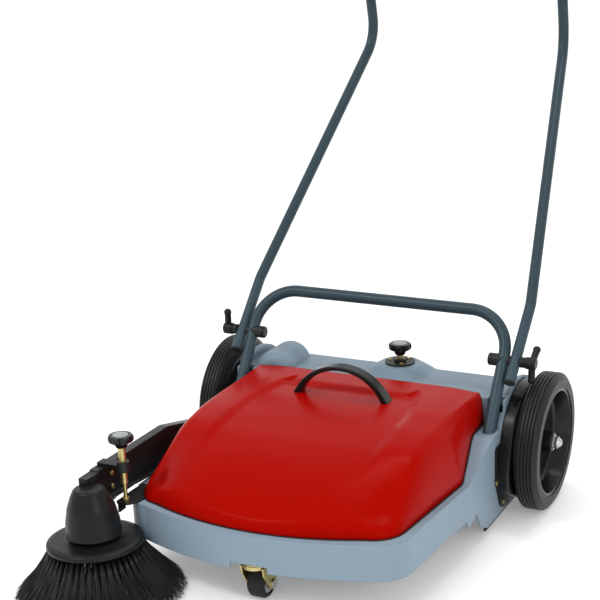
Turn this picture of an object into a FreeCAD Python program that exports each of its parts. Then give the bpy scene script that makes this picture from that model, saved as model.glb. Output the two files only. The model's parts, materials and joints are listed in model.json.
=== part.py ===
"""Walk-behind push sweeper: FreeCAD source, millimetres.

Frame: +Z up, -Y is the direction of travel, +X is the machine's left-hand side.
Origin: on the ground, under the middle of the machine's overall length and width.
Shapes are drawn from a datum on the ground right under the middle of the wheel axle, and moved when saved.
"""
import FreeCAD
import Part
import math
import os

V = FreeCAD.Vector
OUT = "parts"

# ---------------------------------------------------------------- driving dimensions
MIDDLE = V(-28.235, -169.065, 0)             # the origin, seen from the datum under the wheel axle

# big wheels and their fixed axle
WHEEL_R = 141.0
WHEEL_IN, WHEEL_OUT = 328.0, 378.0
RIM_R = 111.0
AXLE_R, BUSH_R = 8.0, 12.0
AXLE_HALF = 387.0
RUN = 0.05                                   # radial running clearance
AXLE = V(0, 0, WHEEL_R)

# moulded chassis
HALF_W = 298.0
WALL = 4.0
LEDGE, RIM_GAP = 18.0, 8.0                    # hopper opening and hood rim, inward from the skirt
SKIRT_TOP, SKIRT_BOTTOM = 152.0, 81.0
HOUSE_R = 128.0
SIDE_BOTTOM = 17.0
POST_TOP = 198.0
DECK_Z = 252.0
DECK_FRONT, DECK_BACK = -90.0, 42.0
REAR_Y = 160.0

# hood and its lifting handle
HOOD_TOP, HOOD_WALL = 262.0, 3.0
HANDLE_HALF, HANDLE_Y = 102.0, -208.0

# push bow (lower tube) and folding handle (upper tube)
BOW_X, BOW_R, BOW_BEND = 278.5, 12.0, 85.0
BOW_TOP = V(0, 2, 401)
BOW_FOOT = V(0, -130, 199)
TUBE_R, TUBE_WALL = 11.0, 1.8
HANDLE_X = 303.5
BOLT_R = 4.0
CLAMP_AT = 0.60                              # share of the way from bow foot to bow top
KNEE = V(221, 490, 861)
GRIP_Z, GRIP_BEND = 1040.0, 70.0

# main brush, its swing frame and its gear pair
MODULE, GEAR_TEETH, PINION_TEETH = 2.75, 60, 20
CENTRES = MODULE * (GEAR_TEETH + PINION_TEETH) / 2
BRUSH_R, BRUSH_HALF = 94.0, 236.0
BRUSH_Z = 95.0
BRUSH_Y = -math.sqrt(CENTRES ** 2 - (WHEEL_R - BRUSH_Z) ** 2)
BRUSH = V(0, BRUSH_Y, BRUSH_Z)
SHAFT_R = 8.0
FRAME_X = 272.0
GEAR_X0, GEAR_X1 = 304.0, 316.0
COVER_DEEP = 27.0

# rear height adjuster
ADJ = V(34, 8, 0)
BOSS_TOP = 268.0

# front caster
CASTER = V(0, -600, 0)
CASTER_R, CASTER_TRAIL = 30.0, 22.0

# side brush and its arm
SIDE = V(-292, -672, 104)
SIDE_TILT = 2.0
LEAN_AXIS = V(0, -1, 0)
DISC_R, SWEEP_R, SWEEP_LIFT = 90.0, 158.0, 7.0
ARM_X0, ARM_X1 = -320.0, -301.0
ARM_TOP = 222.0
SPINDLE = V(-268, -596, 0)

# round belt from the right-hand wheel to the side brush
BELT_X, BELT_R, BELT_JOIN = -310.5, 3.0, 0.4
WHEEL_PULLEY_R, BRUSH_PULLEY_R = 36.0, 12.0
BRUSH_PULLEY_Z = 180.0
NECK_REACH = 42.0                            # from the side brush axis back to the front end of the arm


# ---------------------------------------------------------------- shape helpers
def box(x0, x1, y0, y1, z0, z1):
    return Part.makeBox(x1 - x0, y1 - y0, z1 - z0, V(x0, y0, z0))


def rod(r, start, axis, length):
    return Part.makeCylinder(r, length, start, axis)


def xrod(r, x0, x1, centre):
    """A cylinder along X from x0 to x1 around the line through centre."""
    return rod(r, V(x0, centre.y, centre.z), V(1, 0, 0), x1 - x0)


def zrod(r, x, y, z0, z1):
    return rod(r, V(x, y, z0), V(0, 0, 1), z1 - z0)


def fuse(*shapes):
    """One solid from shapes that touch or overlap."""
    first, rest = shapes[0], list(shapes[1:])
    return first.multiFuse(rest).removeSplitter() if rest else first


def group(*shapes):
    return Part.makeCompound(list(shapes))


def mirror_x(shape):
    return shape.mirror(V(0, 0, 0), V(1, 0, 0))


def both_sides(shape):
    return group(shape, mirror_x(shape))


def turned(shape, centre, axis, degrees):
    made = shape.copy()
    made.rotate(centre, axis, degrees)
    return made


def rounded(points, radii, closed=False):
    """A wire through 3-D points whose inner corners are rounded by arcs. A radius of 0 keeps a corner sharp."""
    n = len(points)
    if not isinstance(radii, (list, tuple)):
        radii = [radii] * n
    corners = range(n) if closed else range(1, n - 1)
    entry = {i: (points[i], points[i]) for i in range(n)}
    edges, arcs = [], {}
    for i in corners:
        if radii[i] <= 0:
            continue
        before, here, after = points[i - 1], points[i], points[(i + 1) % n]
        u = (before - here).normalize()
        w = (after - here).normalize()
        half = u.getAngle(w) / 2
        if abs(half - math.pi / 2) < 1e-6:
            continue
        run = radii[i] / math.tan(half)
        start, end = here + u * run, here + w * run
        bisector = (u + w).normalize()
        middle = here + bisector * (radii[i] / math.sin(half) - radii[i])
        entry[i] = (start, end)
        arcs[i] = Part.Arc(start, middle, end).toShape()
    for i in range(n):
        if i in arcs:
            edges.append(arcs[i])
        if i + 1 < n or closed:
            a, b = entry[i][1], entry[(i + 1) % n][0]
            if (a - b).Length > 1e-6:
                edges.append(Part.makeLine(a, b))
    return Part.Wire(edges)


def slab_yz(points, x0, x1, radii=0):
    """The outline given as (y, z) points, extruded along X from x0 to x1."""
    wire = rounded([V(x0, y, z) for y, z in points], radii, closed=True)
    return Part.Face(wire).extrude(V(x1 - x0, 0, 0))


def slab_xz(points, y0, y1, radii=0):
    wire = rounded([V(x, y0, z) for x, z in points], radii, closed=True)
    return Part.Face(wire).extrude(V(0, y1 - y0, 0))


def slab_xy(points, z0, z1, radii=0):
    wire = rounded([V(x, y, z0) for x, y in points], radii, closed=True)
    return Part.Face(wire).extrude(V(0, 0, z1 - z0))


def spun_x(points, centre, radii=0):
    """The outline given as (x, radius) points, turned about the X line through centre."""
    wire = rounded([V(x, centre.y, centre.z + r) for x, r in points], radii, closed=True)
    return Part.Face(wire).revolve(centre, V(1, 0, 0), 360)


def spun_z(points, x, y, radii=0):
    """The outline given as (radius, z) points, turned about the vertical line through x, y."""
    wire = rounded([V(x + r, y, z) for r, z in points], radii, closed=True)
    return Part.Face(wire).revolve(V(x, y, 0), V(0, 0, 1), 360)


def pipe(points, bend, r, wall=0.0):
    """A round bar or tube along rounded corner points."""
    path = rounded(points, bend)
    start = points[0]
    ahead = (points[1] - points[0]).normalize()
    outer = path.makePipeShell([Part.Wire(Part.makeCircle(r, start, ahead))], True, True)
    if not wall:
        return outer
    inner = path.makePipeShell([Part.Wire(Part.makeCircle(r - wall, start, ahead))], True, True)
    return outer.cut(inner)


def round_edges(shape, radius, keep):
    """Fillets the edges for which keep(edge) is true, one by one where the whole set fails."""
    chosen = [e for e in shape.Edges if keep(e)]
    try:
        made = shape.makeFillet(radius, chosen)
        if made.isValid():
            return made
    except Exception:
        pass
    return shape


def middle_of(edge):
    return edge.valueAt((edge.FirstParameter + edge.LastParameter) / 2)


def screw(head, axis, r=4.0, height=3.0, shank=8.0):
    """A pan-head screw whose head sits on the point head and whose shank points against axis."""
    cap = Part.makeCylinder(r, height * 0.6, head, axis)
    dome = Part.makeCone(r, r * 0.6, height * 0.4, head + axis * height * 0.6, axis)
    body = Part.makeCylinder(r * 0.45, shank, head - axis * shank, axis)
    return fuse(cap, dome, body)


def involute_gear(teeth, x0, x1, centre, bore, phase_deg, thin=0.16):
    """A spur gear along X with 20 degree involute flanks, each flank set back by half of thin."""
    pitch_r = MODULE * teeth / 2
    base_r = pitch_r * math.cos(math.radians(20))
    tip_r, root_r = pitch_r + 0.92 * MODULE, pitch_r - 1.2 * MODULE

    def involute_angle(r):
        if r <= base_r:
            return 0.0
        a = math.acos(base_r / r)
        return math.tan(a) - a

    half_tooth = math.pi / (2 * teeth) - thin / (2 * pitch_r) + involute_angle(pitch_r)
    start_r = max(base_r, root_r + 0.2)
    radii = [start_r + (tip_r - start_r) * i / 4 for i in range(5)]

    def point(r, angle):
        return V(x0, centre.y + r * math.cos(angle), centre.z + r * math.sin(angle))

    edges = []
    for t in range(teeth):
        mid = math.radians(phase_deg) + 2 * math.pi * t / teeth
        up = [point(r, mid - half_tooth + involute_angle(r)) for r in radii]
        down = [point(r, mid + half_tooth - involute_angle(r)) for r in reversed(radii)]
        foot_in, foot_out = point(root_r, mid - half_tooth), point(root_r, mid + half_tooth)
        next_foot = point(root_r, mid - half_tooth + 2 * math.pi / teeth)
        between = point(root_r, mid + math.pi / teeth)
        rise, fall = Part.BSplineCurve(), Part.BSplineCurve()
        rise.interpolate(up)
        fall.interpolate(down)
        edges += [Part.makeLine(foot_in, up[0]), rise.toShape(),
                  Part.Arc(up[-1], point(tip_r, mid), down[0]).toShape(), fall.toShape(),
                  Part.makeLine(down[-1], foot_out), Part.Arc(foot_out, between, next_foot).toShape()]
    gear = Part.Face(Part.Wire(edges)).extrude(V(x1 - x0, 0, 0))
    return gear.cut(xrod(bore, x0 - 1, x1 + 1, centre))


def save(name, shape):
    solids = shape.Solids
    assert solids, name + " has no solid"
    for s in solids:
        assert s.isValid() and s.Volume > 0, name + " holds a bad solid"
    made = solids[0] if len(solids) == 1 else Part.makeCompound(solids)
    made.translate(-MIDDLE)
    made.exportStep(os.path.join(OUT, name + ".step"))
    print(name, len(solids))


# ---------------------------------------------------------------- chassis
def skirt_outline(inset, z):
    """The chassis outline seen from above, moved inward by inset."""
    i = inset
    front, corner = -642 + i, V(282 - i, -535 + i * 0.2, z)
    shoulder, bulge = V(225 - i * 0.7, -598 + i * 0.9, z), V(266 - i, -577 + i * 0.75, z)
    side = V(HALF_W - i, -300, z)
    rear, rear_mid, back = V(HALF_W - i, 118, z), V(285 - i * 0.7, 147 - i * 0.7, z), V(256, REAR_Y - i, z)

    def flip(p):
        return V(-p.x, p.y, p.z)

    right = [Part.Arc(shoulder, bulge, corner).toShape(), Part.makeLine(corner, side),
            Part.makeLine(side, rear),
             Part.Arc(rear, rear_mid, back).toShape()]
    left = [Part.Arc(flip(back), flip(rear_mid), flip(rear)).toShape(),
            Part.makeLine(flip(rear), flip(side)),
            Part.makeLine(flip(side), flip(corner)), Part.Arc(flip(corner), flip(bulge),
                    flip(shoulder)).toShape()]
    nose = Part.Arc(flip(shoulder), V(0, front, z), shoulder).toShape()
    return Part.Wire([nose] + right + [Part.makeLine(back, flip(back))] + left)


def prism(wire, height):
    return Part.Face(wire).extrude(V(0, 0, height))


def opening_outline(inset, z):
    """The edge of the hopper opening, moved inward by inset; the hood's rim follows it further out."""
    ledge = LEDGE + inset
    shoulder, bulge = V(216 - ledge * 0.7, -592 + ledge * 0.9, z), V(257 - ledge, -571 + ledge * 0.75, z)
    corner = V(272 - ledge, -530 + ledge * 0.2, z)
    side = V(HALF_W - 5 - ledge, -292, z)
    post, deck = V(min(252 - inset, 257), -162, z), V(min(250 - inset, 256), DECK_FRONT - 2, z)

    def flip(p):
        return V(-p.x, p.y, p.z)

    right = [Part.Arc(shoulder, bulge, corner).toShape(), Part.makeLine(corner, side),
            Part.makeLine(side, post),
             Part.makeLine(post, deck)]
    left = [Part.makeLine(flip(deck), flip(post)), Part.makeLine(flip(post), flip(side)),
            Part.makeLine(flip(side), flip(corner)), Part.Arc(flip(corner), flip(bulge),
                    flip(shoulder)).toShape()]
    nose = Part.Arc(flip(shoulder), V(0, -637 + ledge, z), shoulder).toShape()
    return Part.Wire([nose] + right + [Part.makeLine(deck, flip(deck))] + left)


def side_profile(grow):
    """The chassis outline seen from the side; a negative grow gives the inside of the moulding."""
    g = -grow
    top = [(-700, SKIRT_TOP - g), (-292, SKIRT_TOP - g), (-160, POST_TOP - g), (-92 + g, POST_TOP - g),
           (-92 + g, DECK_Z - g), (DECK_BACK - g, DECK_Z - g), (138 - g, 182 - g),
                   (REAR_Y + 10 - g * 3.5, 120)]
    bottom = [(REAR_Y + 10 - g * 3.5, 62), (120, 30), (60, SIDE_BOTTOM), (-186, SIDE_BOTTOM), (-222, 34),
              (-248, 74), (-290, 62), (-306, SKIRT_BOTTOM), (-700, SKIRT_BOTTOM)]
    if grow < 0:
        bottom = [(REAR_Y + 10 - g * 3.5, 0), (-700, 0)]
    return top + bottom


def chassis_shell():
    outer = prism(skirt_outline(0, 5), 320).common(slab_yz(side_profile(0), -400, 400))
    outer = round_edges(outer, 5, lambda e: abs(middle_of(e).z - SKIRT_TOP) < 0.5 and e.BoundBox.ZLength < 0.5
                        and middle_of(e).y < -300)
    outer = round_edges(outer, 26, lambda e: e.BoundBox.XLength > 400 and middle_of(e).y > 30
                        and middle_of(e).z > 150)
    # wheel houses beside the deck, the belt dome on the right-hand side and the adjuster boss
    house = xrod(HOUSE_R, 286, HALF_W, AXLE).common(box(280, 300, -120, 126, 190, 300))
    house = round_edges(house, 5, lambda e: abs(e.BoundBox.XLength) < 0.1 and middle_of(e).z > 200
                        and e.BoundBox.YLength > 60 and abs(middle_of(e).x - 286) < 0.5)
    dome = rod(44, V(-222, -84, 240), V(0, 1, 0), 118).common(box(-300, 0, -90, 60, 240, 300))
    dome = round_edges(dome, 20, lambda e: e.BoundBox.YLength < 0.1 and middle_of(e).z > 250)
    boss = Part.makeCone(78, 42, BOSS_TOP - DECK_Z + 4, V(ADJ.x, ADJ.y, DECK_Z - 4), V(0, 0, 1))
    boss = boss.common(box(-100, 150, DECK_FRONT, DECK_BACK + 6, 200, 300))
    body = fuse(outer, house, mirror_x(house), dome, boss)
    # hollow it: the rear chamber, the inside of the skirt and the hopper opening
    chamber = prism(skirt_outline(WALL, -5), 400).common(slab_yz(side_profile(-WALL), -400, 400))
    body = body.cut(chamber)
    body = body.cut(prism(opening_outline(0, -10), 400))
    # posts that hold the feet of the push bow, with the groove beside the deck for its legs
    lean = bow_lean()
    post = slab_yz([(-204, 132), (-204, 182), (-160, POST_TOP), (-95, POST_TOP), (-95, 132)], 262,
                   HALF_W - 0.5)
    post = round_edges(post, 5, lambda e: e.BoundBox.XLength > 20 and middle_of(e).z > 180)
    web = slab_yz([(-92, 150), (-92, DECK_Z - 2), (-60, DECK_Z - 2), (-60, 150)], 258, 262)
    groove = box(262, 293, -94, -74, POST_TOP, 330)
    socket_end = bow_foot_end()
    for side in (1, -1):
        def put(shape):
            return shape if side > 0 else mirror_x(shape)
        body = fuse(body.cut(put(groove)), put(post), put(web))
        body = body.cut(rod(BOW_R + RUN, V(side * BOW_X, socket_end.y, socket_end.z), lean, 200))
    # front shelf for the caster, dirt sill behind the hopper, and a cross wall behind the brush
    shelf = prism(skirt_outline(WALL - 0.5, 96), 6).common(box(-400, 400, -700, -545, 90, 110))
    ribs = [box(x - 2, x + 2, -634, -546, 84, 98).common(prism(skirt_outline(WALL - 0.5, 80), 30))
            for x in (-140, -70, 70, 140)]
    roof = slab_yz([(-12, 236), (-12, 249), (-6, 249), (-6, 236)], -294, 294)
    body = fuse(body, shelf, roof, *ribs)
    # holes: axle, brush shaft windows, adjuster, caster notch, rear finger recess
    body = body.cut(xrod(AXLE_R + 0.2, -320, 320, AXLE))
    body = body.cut(xrod(26, -320, 320, BRUSH))
    body = body.cut(zrod(7, ADJ.x, ADJ.y, 200, 300))
    body = fuse(body, belt_pad()).cut(belt_groove())
    notch = slab_xz([(-28, 60), (-28, SKIRT_BOTTOM + 12), (46, SKIRT_BOTTOM + 12), (46, 60)], -660, -600)
    body = body.cut(notch)
    body = body.cut(zrod(6, CASTER.x, CASTER.y, 80, 120))
    return body


def belt_pad():
    """Extra thickness inside the right-hand wall where the groove for the belt runs."""
    return box(4 - HALF_W, 21.5 - HALF_W, -512, -235, 112, SKIRT_TOP - 3)


def belt_groove():
    """A groove in the right-hand side that clears the lower strand of the belt and lets it rise with the arm."""
    rear, front = belt_corners()
    start, ahead = rear[1], front[0] - rear[1]

    def strand(y):
        return start + ahead * ((y - start.y) / ahead.y)

    near, far = strand(-150), strand(-506)
    side = slab_yz([(near.y, near.z - 5), (far.y, far.z - 5), (far.y, far.z + 25), (near.y, near.z + 25)],
            -300, -250)
    plan = slab_xy([(-299.5, near.y), (near.x + 5, near.y), (far.x + 5, far.y), (-299.5, far.y)], 80, 220)
    return side.common(plan)


def bow_lean():
    return (BOW_TOP - BOW_FOOT).normalize()


def bow_foot_end():
    """The bottom of a bow leg inside its socket, taken on the centre plane."""
    return BOW_FOOT - bow_lean() * 40


def clamp_point():
    return BOW_FOOT + (BOW_TOP - BOW_FOOT) * CLAMP_AT


def high_outline(inset, z):
    """The hood's top edge, with the same run of edges as the opening outline."""
    front, a, mid, b = -520 + inset, V(186, -497 + inset, z), V(214, -486 + inset, z), V(226 - inset,
            -455, z)
    side, post, deck = V(234 - inset, -292, z), V(238 - inset, -162, z), V(240 - inset, DECK_FRONT - 2, z)

    def flip(p):
        return V(-p.x, p.y, p.z)

    right = [Part.Arc(a, mid, b).toShape(), Part.makeLine(b, side), Part.makeLine(side, post),
             Part.makeLine(post, deck)]
    left = [Part.makeLine(flip(deck), flip(post)), Part.makeLine(flip(post), flip(side)),
            Part.makeLine(flip(side), flip(b)), Part.Arc(flip(b), flip(mid), flip(a)).toShape()]
    nose = Part.Arc(flip(a), V(0, front, z), a).toShape()
    return Part.Wire([nose] + right + [Part.makeLine(deck, flip(deck))] + left)


def hood_block(inset):
    """The domed hood as a solid; a second, smaller copy is taken out of it to leave the skin."""
    base = SKIRT_TOP + 1 - inset * 2
    body = Part.makeLoft([opening_outline(inset - LEDGE + RIM_GAP, base),
            high_outline(inset, HOOD_TOP - inset)],
                         True, True)
    return round_edges(body, 30 - inset, lambda e: abs(middle_of(e).z - (HOOD_TOP - inset)) < 0.5
                       and middle_of(e).y < -300)


def hood():
    """The skin, trimmed so that its rim climbs over the chassis sides to the deck."""
    trim = slab_yz([(-300, 100), (-300, SKIRT_TOP + 1), (-292, SKIRT_TOP + 1.5), (-158, POST_TOP + 2.5),
                    (-60, POST_TOP + 2.5), (-60, 100)], -400, 400)
    return hood_block(0).cut(hood_block(HOOD_WALL)).cut(trim).cut(handle_screws())


def hood_seal():
    """The dark rubber lip round the hopper opening."""
    ring = prism(opening_outline(-1.5, SKIRT_TOP), 0.8).cut(prism(opening_outline(1.5, SKIRT_TOP - 8), 12))
    return ring.common(box(-400, 400, -700, -300, 100, 200))


def carry_handle():
    """A flat arched band that stands on the hood."""
    low, rise, thick, wide = HOOD_TOP + 0.1, 65.0, 9.0, 26.0
    y0 = HANDLE_Y - wide / 2
    inner = HANDLE_HALF - thick * 1.6
    over = Part.Arc(V(-HANDLE_HALF, y0, low), V(0, y0, low + rise), V(HANDLE_HALF, y0, low)).toShape()
    under = Part.Arc(V(inner, y0, low), V(0, y0, low + rise - thick), V(-inner, y0, low)).toShape()
    feet = [Part.makeLine(V(HANDLE_HALF, y0, low), V(inner, y0, low)),
            Part.makeLine(V(-inner, y0, low), V(-HANDLE_HALF, y0, low))]
    band = Part.Face(Part.Wire([over, feet[0], under, feet[1]])).extrude(V(0, wide, 0))
    return round_edges(band, 2.5, lambda e: e.BoundBox.XLength > 100)


def handle_screws():
    reach = HANDLE_HALF - 7
    return group(*[screw(V(x, HANDLE_Y, HOOD_TOP - HOOD_WALL - 0.1), V(0, 0, -1), 6, 3, HOOD_WALL)
                   for x in (-reach, reach)])


def hopper():
    """The dirt hopper that hangs under the hood, open at the top and towards the main brush."""
    half, front, back = 236.0, -536.0, -222.0
    tub = slab_yz([(front, 112), (-506, 60), (-330, 44), (back, 40), (back, 146), (front, 146)], -half, half,
                  [10, 40, 60, 0, 0, 0])
    inside = slab_yz([(front + 4, 113), (-503, 64), (-330, 48), (back + 20, 44), (back + 20, 170),
                      (front + 4, 170)], 4 - half, half - 4, [8, 36, 58, 0, 0, 0])
    made = tub.cut(inside)
    under_hood = hood_block(HOOD_WALL)
    for x0, x1 in ((half - 70, half - 3), (3 - half, 70 - half)):
        hanger = box(x0, x1, -402, -398, 147, HOOD_TOP - 30).common(under_hood)
        made = fuse(made, hanger, box(x0, x1, -402, -398, 110, 150))
    return made


# ---------------------------------------------------------------- push bow and handle
def bow():
    foot, top = bow_foot_end(), BOW_TOP
    points = [V(BOW_X, foot.y, foot.z), V(BOW_X, top.y, top.z), V(-BOW_X, top.y, top.z),
            V(-BOW_X, foot.y, foot.z)]
    tube = pipe(points, BOW_BEND, BOW_R, 2.0)
    return tube.cut(xrod(BOLT_R + RUN, -310, 310, clamp_point()))


def handle_points():
    """Centre points of one handle leg from its lower end to the top corner."""
    up = V(0, 1, 1).normalize()
    low = clamp_point() - up * 45
    kink = clamp_point() + up * 128
    rise = V(0, -23, 88).normalize()
    top = KNEE + rise * ((GRIP_Z - KNEE.z) / rise.z)
    return [V(HANDLE_X, low.y, low.z), V(HANDLE_X, kink.y, kink.z), KNEE, V(KNEE.x, top.y, top.z)]


def push_handle():
    right = handle_points()
    left = [V(-p.x, p.y, p.z) for p in reversed(right)]
    tube = pipe(right + left, [0, 120, 80, GRIP_BEND, GRIP_BEND, 80, 120, 0], TUBE_R, TUBE_WALL)
    return tube.cut(xrod(BOLT_R + RUN, -340, 340, clamp_point()))


def handle_grip():
    """The soft sleeve along the top bar of the handle."""
    top = handle_points()[3]
    return xrod(15.5, -120, 120, top).cut(xrod(TUBE_R, -130, 130, top))


def handle_plugs():
    start, up = handle_points()[0], V(0, 1, 1).normalize()
    plug = fuse(rod(TUBE_R, start - up * 4, up, 4), rod(TUBE_R - TUBE_WALL, start - up, up, 16))
    return both_sides(plug)


def clamp_bolts():
    """A carriage bolt through each bow leg and handle leg."""
    at = clamp_point()
    return both_sides(xrod(BOLT_R, 253, 341, at))


def clamp_caps():
    at = clamp_point()
    cap = xrod(12.5, 249, BOW_X, at).cut(xrod(BOLT_R, 253, 400, at))
    cap = round_edges(cap, 3, lambda e: abs(middle_of(e).x - 249) < 0.1)
    return both_sides(cap.cut(rod(BOW_R, V(BOW_X, BOW_FOOT.y, BOW_FOOT.z), bow_lean(), 300)))


def clamp_washers():
    """Saddle washers between the bow and the handle."""
    at = clamp_point()
    washer = xrod(10, BOW_X, HANDLE_X - TUBE_R - 0.1, at).cut(xrod(BOLT_R, 250, 400, at))
    return both_sides(washer.cut(rod(BOW_R, V(BOW_X, BOW_FOOT.y, BOW_FOOT.z), bow_lean(), 300)))


def clamp_knob(arm_degrees):
    """A wing knob: a hub on the bolt with ball-ended arms at the given angles from the horizontal, rearward."""
    at = clamp_point()
    x0 = HANDLE_X + TUBE_R + 0.2
    hub = xrod(10.5, x0, x0 + 16, at)
    shapes = [hub, round_edges(xrod(12, x0 + 12, x0 + 32, at), 3,
            lambda e: abs(middle_of(e).x - x0 - 32) < 0.1)]
    for degrees, length in arm_degrees:
        reach = V(0, math.cos(math.radians(degrees)), math.sin(math.radians(degrees)))
        root = V(x0 + 23, at.y, at.z)
        shapes += [rod(7, root, reach, length), Part.makeSphere(8, root + reach * length)]
    return fuse(*shapes).cut(xrod(BOLT_R + RUN, 200, 341.5, at))


# ---------------------------------------------------------------- big wheels
def tyre():
    """Solid rubber tyre with shallow rings moulded round the tread."""
    w0, w1 = WHEEL_IN, WHEEL_OUT
    body = spun_x([(w0, RIM_R), (w0, WHEEL_R - 12), (w0 + 8, WHEEL_R), (w1 - 8, WHEEL_R), (w1, WHEEL_R - 12),
                   (w1, RIM_R)], AXLE, [0, 6, 6, 6, 6, 0])
    for i in range(5):
        x = w0 + 11 + i * 7
        groove = spun_x([(x - 1, WHEEL_R - 3), (x - 1, WHEEL_R + 2), (x + 1, WHEEL_R + 2),
                (x + 1, WHEEL_R - 3)], AXLE)
        body = body.cut(groove)
    return body


def rim():
    """Deep-dished moulded rim with a long hub."""
    w0, w1 = WHEEL_IN + 2, WHEEL_OUT - 2
    outline = [(w1, RIM_R), (w1, RIM_R - 6), (w0 + 12, RIM_R - 16), (w0 + 7, 60), (w0 + 12, 24),
            (w1 - 4, 19),
               (w1 - 4, BUSH_R), (w0, BUSH_R), (w0, 24), (w0 + 2, 60), (w0 + 4, RIM_R - 10), (w0, RIM_R - 5),
               (w0, RIM_R)]
    return spun_x(outline, AXLE, [0, 2, 8, 20, 6, 2, 0, 0, 4, 15, 6, 0, 0])


def wheel_bush():
    bush = xrod(BUSH_R, WHEEL_IN + 2, WHEEL_OUT - 6, AXLE)
    return bush.cut(xrod(AXLE_R + RUN, 300, 400, AXLE))


def wheel_axle():
    return xrod(AXLE_R, -AXLE_HALF + 4, AXLE_HALF - 4, AXLE)


def axle_washers():
    ring = xrod(15, WHEEL_OUT - 5.7, WHEEL_OUT - 3.7, AXLE).cut(xrod(AXLE_R, 300, 400, AXLE))
    return both_sides(ring)


def axle_nuts():
    """Domed cap nuts on the axle ends."""
    hexagon = [V(WHEEL_OUT - 3.5, 13 * math.cos(math.radians(60 * i)),
            AXLE.z + 13 * math.sin(math.radians(60 * i)))
               for i in range(6)]
    nut = Part.Face(rounded(hexagon, 0, closed=True)).extrude(V(7, 0, 0))
    dome = Part.makeSphere(11, V(WHEEL_OUT + 1, 0, AXLE.z)).common(box(WHEEL_OUT + 3, 400, -20, 20, 100,
            180))
    return both_sides(fuse(nut, dome).cut(xrod(AXLE_R, 300, AXLE_HALF - 4, AXLE)))


def drive_gear():
    """The large gear with the hub that carries it inboard of the left-hand wheel."""
    gear = involute_gear(GEAR_TEETH, GEAR_X0, GEAR_X1, AXLE, 14, 0)
    windows = [turned(rod(17, V(GEAR_X0 - 1, 0, AXLE.z + 50), V(1, 0, 0), 20), AXLE, V(1, 0, 0), 60 * i)
               for i in range(6)]
    hub = xrod(19, GEAR_X0, WHEEL_IN + 2, AXLE).cut(xrod(AXLE_R + 1, 300, 400, AXLE))
    return fuse(gear.cut(group(*windows)), hub)


def gear_phase():
    """The pinion's turn that puts a tooth gap on the line of centres opposite a gear tooth gap's neighbour."""
    toward = math.degrees(math.atan2(BRUSH.z - AXLE.z, BRUSH.y))
    gear_share = (toward / (360 / GEAR_TEETH)) % 1
    return toward + 180 + (0.5 + gear_share) * 360 / PINION_TEETH


def brush_pinion():
    return involute_gear(PINION_TEETH, GEAR_X0 + 1, GEAR_X1 - 1, BRUSH, SHAFT_R, gear_phase())


def cover_outline(inset, x):
    """A round cover over both gears: two arcs joined by their common tangents."""
    big, small = (AXLE.y, AXLE.z, 123 - inset), (-98.0, 102.0, 44 - inset)
    dy, dz = small[0] - big[0], small[1] - big[1]
    span = math.hypot(dy, dz)
    ahead, spread = math.atan2(dz, dy), math.acos((big[2] - small[2]) / span)

    def at(circle, angle):
        return V(x, circle[0] + circle[2] * math.cos(angle), circle[1] + circle[2] * math.sin(angle))

    b0, b1, s0, s1 = (at(big, ahead + spread), at(big, ahead - spread), at(small, ahead + spread),
                      at(small, ahead - spread))
    return Part.Wire([Part.Arc(b0, at(big, ahead + math.pi), b1).toShape(), Part.makeLine(b1, s1),
                      Part.Arc(s1, at(small, ahead), s0).toShape(), Part.makeLine(s0, b0)])


def gear_cover():
    """A shallow drum over the gear pair with a screwed flange along its front, on the side of the chassis."""
    x0 = HALF_W + 0.5
    block = Part.Face(cover_outline(0, x0)).extrude(V(COVER_DEEP, 0, 0))
    block = round_edges(block, 7, lambda e: abs(middle_of(e).x - x0 - COVER_DEEP) < 0.1)
    flange = slab_yz([(-150, 172), (-146, 96), (-112, 28), (-62, 24), (-50, 60), (-60, 172)], x0, x0 + 4,
                     [8, 30, 30, 12, 10, 8])
    hollow = Part.Face(cover_outline(3, HALF_W - 1)).extrude(V(COVER_DEEP - 1.5, 0, 0))
    return fuse(block, flange).cut(hollow).cut(xrod(22, 315, 340, AXLE)).cut(group(*cover_screws()))


def cover_screws():
    """Two screws through the flange and two through the drum."""
    low, high = HALF_W + 4.6, HALF_W + COVER_DEEP + 0.6
    return [screw(V(x, y, z), V(1, 0, 0), 5.0, 1.8, 2.5)
            for x, y, z in ((low, -146.5, 98), (low, -104, 42), (high, 20, 240), (high, 78, 72))]


# ---------------------------------------------------------------- main brush
def brush_core():
    """The moulded roller that holds the tufts."""
    core = xrod(34, -BRUSH_HALF, BRUSH_HALF, BRUSH)
    ends = [xrod(40, x, x + 6, BRUSH) for x in (-BRUSH_HALF - 6, BRUSH_HALF)]
    return fuse(core, *ends).cut(xrod(SHAFT_R, -300, 300, BRUSH))


def brush_tufts():
    """Six spiral rows of tufts, as one ribbed sleeve."""
    ring = xrod(BRUSH_R, -BRUSH_HALF + 4, BRUSH_HALF - 4, BRUSH).cut(xrod(34, -300, 300, BRUSH))
    return ring


def brush_shaft():
    return xrod(SHAFT_R, -FRAME_X - 8, GEAR_X1, BRUSH)


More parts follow.
